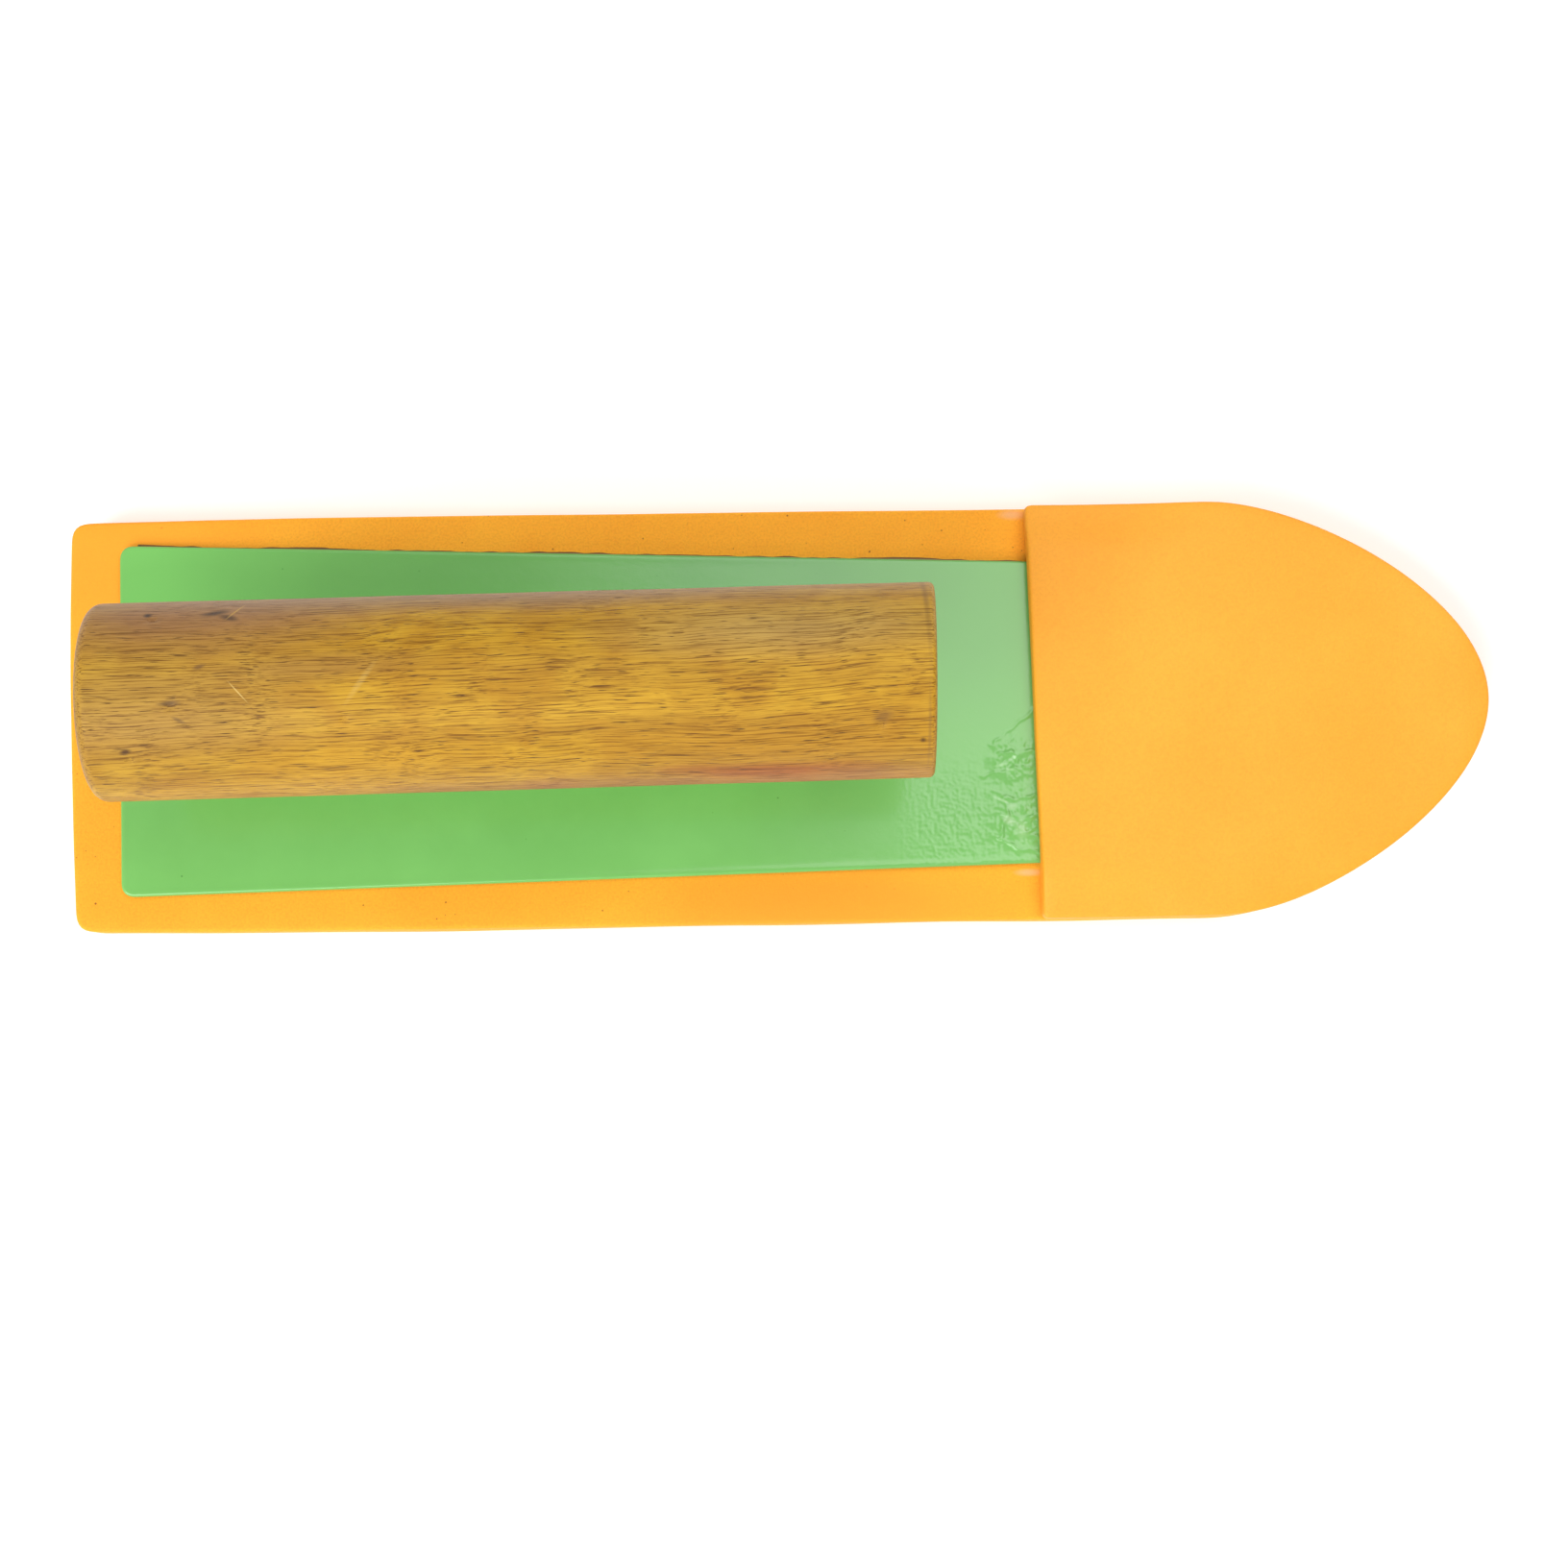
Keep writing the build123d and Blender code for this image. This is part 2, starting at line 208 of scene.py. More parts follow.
def marked(tree, at, colour, marks):
    """Mixes soft-edged marks into a colour. Each has its middle, half size, turn, colour and strength."""
    for middle, half_size, turn, tone, strength in marks:
        place = add_node(
            tree,
            "Mapping",
            {
                "Vector": at,
                "Location": middle,
                "Rotation": (0.0, 0.0, math.radians(turn)),
                "Scale": half_size,
            },
            vector_type="TEXTURE",
        )
        away = add_node(tree, "VectorMath", {0: place.outputs["Vector"]}, operation="LENGTH")
        share = add_node(
            tree,
            "MapRange",
            {"Value": away.outputs["Value"], "From Min": 1.0, "From Max": 0.3, "To Max": strength},
        )
        mixed = add_node(
            tree, "Mix", {0: share.outputs["Result"], 6: colour, 7: linear(tone)}, data_type="RGBA"
        )
        colour = mixed.outputs["Result"]
    return colour


def eva_foam(name, light, dark, grain_shade, pore_colour, pore_spacing, pore_radius, roughness, marks=()):
    """Closed-cell EVA: an even warm colour with faint clouds, a matt grain, and a few dark open pores.
    Real cells are a tenth of a millimetre or so, and the grain and pores are drawn coarser to show."""
    material, tree, shader = new_material(
        name,
        Roughness=roughness,
        IOR=1.45,
        Subsurface_Weight=0.12,
        Subsurface_Radius=(1.0, 0.35, 0.1),
        Subsurface_Scale=2.0 * MM,
    )
    at = add_node(tree, "TexCoord").outputs["Object"]
    clouds = add_node(tree, "TexNoise", {"Vector": at, "Scale": 1 / (22 * MM), "Detail": 3.0})
    body = add_node(
        tree, "ValToRGB", {"Fac": clouds.outputs["Fac"]}, stops=[(0.35, dark), (0.65, light)]
    )
    grain = add_node(tree, "TexNoise", {"Vector": at, "Scale": 1 / (0.45 * MM), "Detail": 2.0})
    grained = add_node(
        tree, "ValToRGB", {"Fac": grain.outputs["Fac"]}, stops=[(0.3, grain_shade), (0.6, "#ffffff")]
    )
    speckled = add_node(
        tree,
        "Mix",
        {0: 1.0, 6: body.outputs["Color"], 7: grained.outputs["Color"]},
        data_type="RGBA",
        blend_type="MULTIPLY",
    )
    cells = add_node(tree, "TexVoronoi", {"Vector": at, "Scale": 1 / pore_spacing})
    chance = add_node(tree, "SeparateColor", {"Color": cells.outputs["Color"]})
    size = add_node(
        tree,
        "MapRange",
        {
            "Value": chance.outputs["Red"],
            "From Min": 0.62,
            "From Max": 1.0,
            "To Max": pore_radius / pore_spacing,
        },
    )
    hole = add_node(
        tree,
        "Math",
        {0: size.outputs["Result"], 1: cells.outputs["Distance"]},
        operation="SUBTRACT",
    )
    pore = add_node(
        tree,
        "MapRange",
        {"Value": hole.outputs["Value"], "From Min": 0.0, "From Max": 0.08},
    )
    coloured = add_node(
        tree,
        "Mix",
        {0: pore.outputs["Result"], 6: speckled.outputs["Result"], 7: linear(pore_colour)},
        data_type="RGBA",
    )
    finished = marked(tree, at, coloured.outputs["Result"], marks)
    tree.links.new(finished, shader.inputs["Base Color"])
    depth = add_node(
        tree, "Math", {0: grain.outputs["Fac"], 1: pore.outputs["Result"]}, operation="SUBTRACT"
    )
    bump = add_node(
        tree, "Bump", {"Strength": 0.35, "Distance": 0.12 * MM, "Height": depth.outputs["Value"]}
    )
    tree.links.new(bump.outputs["Normal"], shader.inputs["Normal"])
    return material


pad_low, pad_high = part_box("float_pad")
pad_line = outline_of("float_pad", step=1.0 * MM, smoothing=3)
cover_low, cover_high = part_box("nose_cover")
PAD_SHADE_AND_SMEARS = (  # two broad places of painted shade in a deeper orange, and then the pale smears behind the cover's corners
    ((pad_low[0] + 8 * MM, 32 * MM, pad_high[2]), (34 * MM, 22 * MM, 20 * MM), 0, "#f29a1e", 0.9),
    ((12 * MM, -38 * MM, pad_high[2]), (46 * MM, 12 * MM, 20 * MM), 0, "#f29a20", 0.9),
    ((cover_low[0] - 2.0 * MM, 39.8 * MM, pad_high[2]), (3.6 * MM, 1.3 * MM, 4 * MM), 0, "#ecb078", 0.75),
    ((cover_low[0] - 0.5 * MM, -31.8 * MM, pad_high[2]), (3.4 * MM, 0.9 * MM, 4 * MM), 0, "#eeb47e", 0.75),
)
pad_foam = eva_foam(
    "eva_foam_knife_cut",
    light="#ffae24",
    dark="#fca61e",
    grain_shade="#f1ede6",
    pore_colour="#8f5210",
    pore_spacing=1.8 * MM,
    pore_radius=0.3 * MM,
    roughness=0.75,
    marks=PAD_SHADE_AND_SMEARS,
)
PAD_SINK = 0.12 * MM  # how far the foam's back lies below the cement on average
PAD_UNEVENNESS = 0.1 * MM


def pad_top(points):
    """The back of the foam, never above the level where the cement starts."""
    return pad_high[2] - PAD_SINK + rough(points, 14 * MM, PAD_UNEVENNESS)


def pad_face(points):
    """The working face, flat where it stands."""
    return np.full(len(points), pad_low[2])


def knife_wander(ring, share):
    """How the knife wandered along the edge, a little more at the bottom of the cut."""
    return rough(ring, 30 * MM, (0.28 - 0.14 * share) * MM, seed=share)


float_pad = slab(
    "float_pad_foam",
    pad_line,
    lattice(pad_line, step=2.2 * MM, margin=2.0 * MM),
    bottom=pad_face,
    top=pad_top,
    rounding=(0.5 * MM, 0.8 * MM),
    side_rows=8,
    material=pad_foam,
    cut=knife_wander,
)
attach(float_pad, "root")
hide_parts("float_pad")


# ---- Contact cement -------------------------------------------------------------------------------
# Chloroprene contact cement, brushed on both faces and dried to an amber rubber film. It holds the
# plate to the pad, and the nose cover to the pad and to the plate's tongue.
def contact_cement(name, thick, thin):
    """Dried cement: amber, half-gloss, streaked by the brush, and darker where it is thick or dirty."""
    material, tree, shader = new_material(name, Roughness=0.4, IOR=1.5)
    at = add_node(tree, "TexCoord").outputs["Object"]
    streaks = add_node(tree, "Mapping", {"Vector": at, "Scale": (1 / (18 * MM), 1 / (1.2 * MM), 1 / MM)})
    brushed = add_node(tree, "TexNoise", {"Vector": streaks.outputs["Vector"], "Scale": 1.0, "Detail": 3.0})
    body = add_node(
        tree,
        "ValToRGB",
        {"Fac": brushed.outputs["Fac"]},
        stops=[(0.3, thick), (0.7, thin)],
    )
    tree.links.new(body.outputs["Color"], shader.inputs["Base Color"])
    bump = add_node(
        tree, "Bump", {"Strength": 0.5, "Distance": 0.1 * MM, "Height": brushed.outputs["Fac"]}
    )
    tree.links.new(bump.outputs["Normal"], shader.inputs["Normal"])
    return material


cement = contact_cement("contact_cement_dried", "#8f6a2c", "#c39a52")
for name in ("plate_cement", "nose_cement", "tongue_cement"):
    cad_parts[name].data.materials[0] = cement


# ---- Backing plate --------------------------------------------------------------------------------
# Sheet steel cut to a taper and dipped in green enamel, so its edges are round and carry a fat bead.
# Just behind the nose cover its enamel is wrinkled, most of all on the right.
def green_enamel(name, peel_height, marks=()):
    """Gloss enamel on steel: a clean mid green with a soft orange-peel skin and a few dust nibs."""
    material, tree, shader = new_material(name, Roughness=0.16, IOR=1.5)
    at = add_node(tree, "TexCoord").outputs["Object"]
    clouds = add_node(tree, "TexNoise", {"Vector": at, "Scale": 1 / (16 * MM), "Detail": 4.0})
    body = add_node(
        tree, "ValToRGB", {"Fac": clouds.outputs["Fac"]}, stops=[(0.3, "#73b95c"), (0.7, "#79c062")]
    )
    dust = add_node(tree, "TexVoronoi", {"Vector": at, "Scale": 1 / (5 * MM)})
    nib = add_node(
        tree,
        "MapRange",
        {"Value": dust.outputs["Distance"], "From Min": 0.05, "From Max": 0.02},
    )
    specked = add_node(
        tree,
        "Mix",
        {0: nib.outputs["Result"], 6: body.outputs["Color"], 7: linear("#4f8a3f")},
        data_type="RGBA",
    )
    finished = marked(tree, at, specked.outputs["Result"], marks)
    tree.links.new(finished, shader.inputs["Base Color"])
    peel = add_node(
        tree,
        "TexNoise",
        {"Vector": at, "Scale": 1 / (1.6 * MM), "Detail": 2.5, "Roughness": 0.6},
    )
    bump = add_node(
        tree, "Bump", {"Strength": 0.4, "Distance": peel_height, "Height": peel.outputs["Fac"]}
    )
    tree.links.new(bump.outputs["Normal"], shader.inputs["Normal"])
    return material


plate_low, plate_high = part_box("backing_plate")
MARK_DEPTH = 4 * MM  # how far a small mark reaches up and down, so that it lies whole on an uneven face
# Painted glints: pale spots on the wrinkled enamel where its folds catch the light.
WRINKLE_GLINTS = (  # behind the cover's edge, across, half length, half width, turn, colour and strength
    (3.3 * MM, -9.2 * MM, 1.1 * MM, 0.4 * MM, 30, "#c4e2bc", 0.25),
    (5.7 * MM, -10.6 * MM, 1.8 * MM, 0.4 * MM, 12, "#b4d9a8", 0.35),
    (3.8 * MM, -11.5 * MM, 1.5 * MM, 0.4 * MM, -8, "#b4d9a8", 0.3),
    (5.8 * MM, -17.5 * MM, 2.4 * MM, 0.4 * MM, -24, "#badcae", 0.35),
    (3.8 * MM, -18.9 * MM, 1.4 * MM, 0.8 * MM, 20, "#bad6ae", 0.25),
    (4.4 * MM, -21.5 * MM, 2.0 * MM, 1.2 * MM, -35, "#bcd2ae", 0.35),
    (2.0 * MM, -23.4 * MM, 1.6 * MM, 2.6 * MM, 10, "#b2cfa2", 0.3),
)
PLATE_SHADE_AND_GLINTS = (  # broad places of painted shade where the green is deeper, and then the painted glints in the wrinkles
    ((-60 * MM, 28 * MM, plate_high[2]), (34 * MM, 14 * MM, 20 * MM), 0, "#64a750", 0.8),
    ((plate_low[0] + 12 * MM, 26 * MM, plate_high[2]), (46 * MM, 18 * MM, 20 * MM), 0, "#69ad54", 0.8),
    ((-5 * MM, 28 * MM, plate_high[2]), (46 * MM, 14 * MM, 20 * MM), 0, "#66a958", 0.9),
    ((cover_low[0] - 4 * MM, -2 * MM, plate_high[2]), (46 * MM, 62 * MM, 20 * MM), -40, "#6ca85a", 0.9),
    *(
        ((cover_low[0] - back, across, plate_high[2]), (long, wide, MARK_DEPTH), turn, tone, strength)
        for back, across, long, wide, turn, tone, strength in WRINKLE_GLINTS
    ),
)
plate_enamel = green_enamel("enamel_green_gloss", peel_height=0.035 * MM, marks=PLATE_SHADE_AND_GLINTS)
plate_line = outline_of("backing_plate", step=0.8 * MM, smoothing=1)
PLATE_EDGE_ROUNDING = 0.45 * MM
PLATE_BEAD_WIDTH = 0.75 * MM
PLATE_BEAD_HEIGHT = 0.06 * MM
WRINKLE_REACH = 31 * MM  # how far the wrinkled enamel comes out from under the nose cover
WRINKLE_TUCK = 6 * MM  # how far it goes on below the cover
RIPPLE = (1.7 * MM, 0.045 * MM)  # the size and height of the soft ripples, and of the fine hammered ones
HAMMERING = (0.62 * MM, 0.036 * MM)
CLUMPS = (  # the worst wrinkles: how far behind the cover's edge, how far across, their radius and height
    (3.0 * MM, -9.5 * MM, 4.6 * MM, 0.2 * MM),
    (2.0 * MM, -21.5 * MM, 5.6 * MM, 0.2 * MM),
)
CREASES_MM = (  # the sharpest folds, each as points behind the cover's edge and across
    ((-3.0, 1.8), (2.5, -2.6), (7.4, -6.7)),
    ((-3.0, -7.2), (3.0, -8.6), (6.0, -8.0)),
    ((-3.0, -11.0), (4.0, -11.4), (9.6, -12.8)),
    ((-3.0, -16.0), (3.0, -17.6), (7.4, -15.9)),
    ((-3.0, -20.0), (2.0, -21.5), (5.8, -20.2)),
    ((-3.0, -26.0), (2.2, -23.4), (4.8, -20.0)),
    ((-3.0, -28.2), (3.0, -27.2), (6.8, -24.8)),
    ((5.2, -17.0), (4.6, -20.6), (6.4, -25.0)),
)
CREASE_WIDTH = 0.34 * MM
CREASE_HEIGHT = 0.2 * MM
WRINKLE_LEAN = math.radians(42)  # the wrinkles run at this angle to the cover's edge


def smooth_step(values):
    """0 below 0, 1 above 1, and a soft S between."""
    share = np.clip(values, 0, 1)
    return share * share * (3 - 2 * share)


def ridged(points, size, seed):
    """Sharp ridges from 0 to 1, as a skin makes when it wrinkles."""
    return 1 - np.abs(rough(points, size, 1.8, seed)).clip(0, 1)


def plate_top(points):
    """The enamel's surface: flat, with a bead along its edge that thins out on the left, and the
    wrinkles near the cover."""
    depth = depth_inside(points, plate_line)
    bead = np.exp(-(((depth - PLATE_BEAD_WIDTH) / PLATE_BEAD_WIDTH) ** 2) * 2)
    run_off = 1 - 0.7 * smooth_step((points[:, 1] - 10 * MM) / (10 * MM))
    height = plate_high[2] - PLATE_BEAD_HEIGHT * 0.6 + PLATE_BEAD_HEIGHT * run_off * bead
    behind = cover_low[0] - points[:, 0]
    shown = smooth_step((behind + WRINKLE_TUCK) / (4 * MM))
    in_front = smooth_step(1 - behind / WRINKLE_REACH) * shown
    right_side = smooth_step((-points[:, 1] - 6 * MM) / (12 * MM))
    height += in_front * (0.2 + 0.8 * right_side) * rough(points, *RIPPLE, 3.0)
    hammered = smooth_step(2 - 2 * behind / WRINKLE_REACH) * (0.1 + 0.9 * right_side)
    height += hammered * rough(points, *HAMMERING, 5.0)
    cos, sin = math.cos(WRINKLE_LEAN), math.sin(WRINKLE_LEAN)
    drawn_out = points @ np.array([[cos, -sin], [sin, cos]]) * (0.5, 1.0)
    fold = ridged(drawn_out, 2.0 * MM, 7.0) ** 2 + 0.5 * ridged(points, 1.1 * MM, 9.0) ** 2
    for back, across, radius, rise in CLUMPS:
        away = np.hypot(behind - back, points[:, 1] - across) / radius
        height += shown * smooth_step(1.4 - away) * fold * rise
    shaken = np.column_stack([
        behind + rough(points, 1.7 * MM, 0.6 * MM, 13.0),
        points[:, 1] + rough(points, 1.7 * MM, 0.6 * MM, 15.0),
    ])
    for crease in CREASES_MM:
        near = np.exp(-((distance_to(shaken, np.array(crease) * MM) / CREASE_WIDTH) ** 2))
        height += shown * CREASE_HEIGHT * near * (0.7 + rough(points, 2.5 * MM, 0.6, 17.0))
    return height


def plate_under(points):
    """The flat underside, on the cement."""
    return np.full(len(points), plate_low[2])


def in_wrinkles(points):
    """Where the plate needs close points for its wrinkles."""
    reach, tuck = cover_low[0] - WRINKLE_REACH, cover_low[0] + WRINKLE_TUCK
    return (points[:, 0] > reach) & (points[:, 0] < tuck)


def in_deep_wrinkles(points):
    """The right half of the wrinkles, which holds the deepest, and where the points are closest."""
    return in_wrinkles(points) & (points[:, 1] < 2 * MM)


# Rings just inside the rim keep its rounding from shading the flat enamel beside it.
edge_rings = np.vstack([inset_line(plate_line, depth * MM) for depth in (0.6, 0.9, 1.3, 1.8, 2.6)])
plate_points = np.vstack([
    edge_rings[~in_wrinkles(edge_rings)],
    lattice(plate_line, 3.0 * MM, 3.6 * MM, lambda p: ~in_wrinkles(p)),
    lattice(plate_line, 0.6 * MM, 0.7 * MM, lambda p: in_wrinkles(p) & ~in_deep_wrinkles(p)),
    lattice(plate_line, 0.26 * MM, 0.4 * MM, in_deep_wrinkles),
])
backing_plate = slab(
    "backing_plate_enamelled",
    plate_line,
    plate_points,
    bottom=plate_under,
    top=plate_top,
    rounding=(0.15 * MM, PLATE_EDGE_ROUNDING),
    side_rows=2,
    material=plate_enamel,
)
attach(backing_plate, "root")
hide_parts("backing_plate")


# ---- Cement that squeezed out ---------------------------------------------------------------------
# When the plate was pressed down, a little of the contact cement crept out along its left edge and
# dried there as a thin, uneven bead. Its dark brown is partly dirt it picked up and partly painted
# shade of the gap between the plate and the foam.
SQUEEZE_RADIUS = 0.45 * MM
SQUEEZE_OUT = 0.22 * MM
SQUEEZE_STEPS_ROUND = 8
squeezed_cement = contact_cement("contact_cement_dirt_and_shade", "#4e3512", "#7d5a24")


def cement_bead():
    """The bead along the plate's left edge, thick in places and almost gone in others."""
    at_side = (plate_line[:, 1] > 20 * MM) & (plate_line[:, 0] > plate_low[0] + 2.5 * MM)
    edge = sorted(tuple(p) for p in plate_line[at_side & (plate_line[:, 0] < cover_low[0])])
    points = []
    for x, y in edge:
        lumps = noise.noise(Vector((x / (3.1 * MM), 0, 0)))
        runs = noise.noise(Vector((x / (17 * MM), 0, 4)))
        radius = SQUEEZE_RADIUS * min(max(0.45 + 0.5 * lumps + 0.9 * runs, 0.1), 1.0)
        for k in range(SQUEEZE_STEPS_ROUND):
            turn = 2 * math.pi * k / SQUEEZE_STEPS_ROUND
            points.append((
                x,
                y + SQUEEZE_OUT + radius * math.cos(turn),
                pad_high[2] + 0.7 * radius * math.sin(turn),
            ))
    faces = tube_faces(len(edge), SQUEEZE_STEPS_ROUND)
    faces.append(tuple(range(SQUEEZE_STEPS_ROUND)))
    faces.append(tuple(range(len(points) - SQUEEZE_STEPS_ROUND, len(points))))
    return new_piece("cement_bead_left", points, faces, squeezed_cement)


bead = cement_bead()
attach(bead, "root")


# ---- Nose cover -----------------------------------------------------------------------------------
# A thinner sheet of the same foam, with its smooth moulded skin outside. It is glued over the nose
# and the plate's tongue, and it comes down in a soft slope at the sides of the tongue.
cover_foam = eva_foam(
    "eva_foam_skinned",
    light="#f3a528",
    dark="#f1a023",
    grain_shade="#f7f4ef",
    pore_colour="#b0741c",
    pore_spacing=3.6 * MM,
    pore_radius=0.22 * MM,
    roughness=0.6,
)
cover_line = outline_of("nose_cover", step=0.9 * MM, smoothing=2)
COVER_THICKNESS = 4.0 * MM
TONGUE_RISE = 1.8 * MM
TONGUE_ROOM = 0.6 * MM
DRAPE_WIDTH = 10.0 * MM
DRAPE_AHEAD = 28.0 * MM  # the slope is longer in front of the tongue
POCKET_SLOPE = 0.8 * MM
COVER_SINK = 0.15 * MM  # how far the uneven skin lies below the sheet's full thickness on average
CREASE_FROM_TIP = 6.0 * MM
CREASE_DROP = 0.35 * MM


def tongue_lift(points, width):
    """How far the sheet is lifted by the plate's tongue, over a slope of a width at its edge."""
    outside = -depth_inside(points, plate_line) - TONGUE_ROOM
    return TONGUE_RISE * smooth_step(1 - outside / width)


def cover_under(points):
    """The glued side, with the pocket for the tongue."""
    return cover_low[2] + tongue_lift(points, POCKET_SLOPE)


def cover_top(points):
    """The skin: it follows the tongue softly, is a little uneven, and thins at the pressed edge."""
    ahead = smooth_step((points[:, 0] - plate_high[0] + DRAPE_AHEAD) / DRAPE_AHEAD)
    width = DRAPE_WIDTH + (DRAPE_AHEAD - DRAPE_WIDTH) * ahead
    base = cover_low[2] + COVER_THICKNESS - COVER_SINK + tongue_lift(points, width)
    pressed = 0.25 * MM * np.exp(-depth_inside(points, cover_line) / (2.5 * MM))
    past_crease = smooth_step((points[:, 0] - cover_high[0] + CREASE_FROM_TIP) / CREASE_FROM_TIP)
    return base - pressed - CREASE_DROP * past_crease + rough(points, 30 * MM, 0.12 * MM, 11.0)


def cover_cut(ring, share):
    """How the cut wandered along the edge, on average a little inside the CAD outline."""
    return rough(ring, 24 * MM, 0.16 * MM, seed=4.0 + share) + 0.05 * MM


nose_cover = slab(
    "nose_cover_foam",
    cover_line,
    lattice(cover_line, step=1.6 * MM, margin=1.6 * MM),
    bottom=cover_under,
    top=cover_top,
    rounding=(0.3 * MM, 0.6 * MM),
    side_rows=5,
    material=cover_foam,
    cut=cover_cut,
)
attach(nose_cover, "root")
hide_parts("nose_cover")


# ---- Handle strap and rivets ----------------------------------------------------------------------
# A flat steel strip bent into a bridge and riveted to the plate at both feet. It was dipped with the
# plate, so it and the rivets have the same enamel, here with a deeper orange peel.
STRAP_EDGE = 0.35 * MM


def softened_copy(node, name, width, material):
    """A copy of a CAD node with its sharp edges rounded over by a width."""
    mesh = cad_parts[node].data.copy()
    mesh.name = name
    shape = bmesh.new()
    shape.from_mesh(mesh)
    bmesh.ops.remove_doubles(shape, verts=shape.verts, dist=0.001 * MM)
    bmesh.ops.dissolve_limit(
        shape, angle_limit=math.radians(1.0), verts=shape.verts, edges=shape.edges
    )
    sharp = [
        edge
        for edge in shape.edges
        if len(edge.link_faces) == 2 and edge.calc_face_angle() > math.radians(40)
    ]
    bmesh.ops.bevel(
        shape, geom=sharp, offset=width, segments=3, profile=0.5, affect="EDGES", clamp_overlap=True
    )
    shape.to_mesh(mesh)
    shape.free()
    mesh.shade_smooth()
    mesh.set_sharp_from_angle(angle=math.radians(35))
    mesh.materials.clear()
    mesh.materials.append(material)
    piece = bpy.data.objects.new(name, mesh)
    bpy.context.collection.objects.link(piece)
    return piece


strap_enamel = green_enamel("enamel_green_on_strap", peel_height=0.08 * MM)
handle_strap = softened_copy("handle_strap", "handle_strap_painted", STRAP_EDGE, strap_enamel)
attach(handle_strap, "root")
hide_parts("handle_strap")

for end in ("rear", "front"):
    for side in ("left", "right"):
        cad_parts[f"rivet_{end}_{side}"].data.materials[0] = strap_enamel


# ---- Wooden grip ----------------------------------------------------------------------------------
# A length of turned hardwood, slightly thicker at the rear, with rounded rims and a flat seat below
# for the strap. It was stained yellow-brown and lacquered, and the pores still show as dark lines.
GRIP_REAR_RADIUS = 17.85 * MM
GRIP_FRONT_RADIUS = 17.75 * MM
GRIP_REAR_ROUNDING = 2.4 * MM
GRIP_FRONT_ROUNDING = 1.0 * MM
GRIP_SKEW = math.radians(0.8)
FRONT_CUT_LEAN = math.tan(math.radians(2.6))  # the front end was sawn a little out of square
FRONT_CUT_SKEW = math.tan(math.radians(1.6))
SEAT_LENGTH = 103.2 * MM
GRIP_STEPS_ROUND = 240
GRIP_STEP_ALONG = 0.7 * MM
GRIP_WOBBLE = 0.07 * MM  # how uneven the turning left it, either way
grip_low, grip_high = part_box("wooden_grip")
seat_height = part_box("handle_strap")[1][2]
GRIP_HALF = (grip_high[0] - grip_low[0]) / 2 - GRIP_REAR_RADIUS * math.sin(GRIP_SKEW) * 0.9
GRIP_MIDDLE = ((grip_high[0] + grip_low[0]) / 2, (grip_high[1] + grip_low[1]) / 2)
GRIP_AXIS = grip_high[2] - GRIP_REAR_RADIUS


def grip_rings():
    """Places and radii along the stick, close together at the rims and at the seat's ends."""
    rings = []
    for k in range(9):
        turn = math.pi / 2 * k / 8
        rings.append((
            -GRIP_HALF + GRIP_REAR_ROUNDING * (1 - math.sin(turn)),
            GRIP_REAR_RADIUS - GRIP_REAR_ROUNDING * (1 - math.cos(turn)),
        ))
    rings.reverse()
    straight = np.arange(
        -GRIP_HALF + GRIP_REAR_ROUNDING + 0.6 * MM, GRIP_HALF - GRIP_FRONT_ROUNDING, GRIP_STEP_ALONG
    )
    seat_ends = [side * (SEAT_LENGTH / 2 + gap) for side in (-1, 1) for gap in (-0.02 * MM, 0.02 * MM)]
    for x in sorted([*straight, *seat_ends]):
        share = (x + GRIP_HALF) / (2 * GRIP_HALF)
        rings.append((x, GRIP_REAR_RADIUS + share * (GRIP_FRONT_RADIUS - GRIP_REAR_RADIUS)))
    for k in range(7):
        turn = math.pi / 2 * k / 6
        rings.append((
            GRIP_HALF - GRIP_FRONT_ROUNDING * (1 - math.sin(turn)),
            GRIP_FRONT_RADIUS - GRIP_FRONT_ROUNDING * (1 - math.cos(turn)),
        ))
    rings.sort(key=lambda ring: ring[0])
    first, last = rings[0], rings[-1]
    ends_in = [(first[0], first[1] * k / 6) for k in range(1, 6)]
    ends_out = [(last[0], last[1] * k / 6) for k in range(5, 0, -1)]
    return ends_in + rings + ends_out


DINGS = (  # knocks in the wood: along the stick from its middle, round from the top, radius and depth
    (-62.0 * MM, 46.0, 0.9 * MM, 0.35 * MM),
    (-66.0 * MM, -42.0, 0.7 * MM, 0.35 * MM),
    (-58.0 * MM, -10.0, 1.1 * MM, 0.25 * MM),
    (-28.0 * MM, -20.0, 0.8 * MM, 0.2 * MM),
    (65.0 * MM, -33.0, 0.7 * MM, 0.3 * MM),
    (30.0 * MM, 25.0, 1.6 * MM, 0.12 * MM),
)


